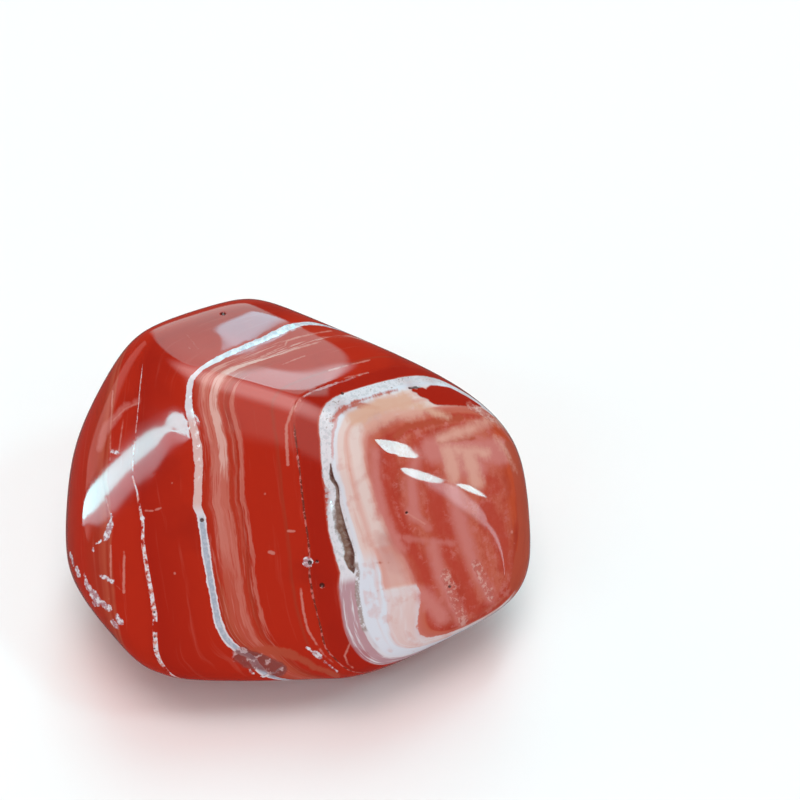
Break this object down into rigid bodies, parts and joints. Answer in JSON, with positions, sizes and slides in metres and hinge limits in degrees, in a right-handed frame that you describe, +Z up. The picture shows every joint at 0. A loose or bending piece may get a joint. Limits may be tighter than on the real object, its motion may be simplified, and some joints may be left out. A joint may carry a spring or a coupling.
{
  "type": "tumbled red jasper stone",
  "caption": "Tumbled piece of banded red jasper with broad worn faces, soft ridges, pale veins and a small flat spot it rests on.",
  "frame": {"origin": "under the middle of the stone's box, on the flat spot's plane", "axes": "+Z up as the stone rests, +X along its long side, the broad banded face towards -Y and up"},
  "size_m": [0.0348, 0.0276, 0.0207],
  "materials": {
    "jasper": "tumble polished, glossy, with cream, pink and blue-grey bands and veins"
  },
  "bodies": {
    "root": {"stone": "jasper"}
  },
  "joints": []
}
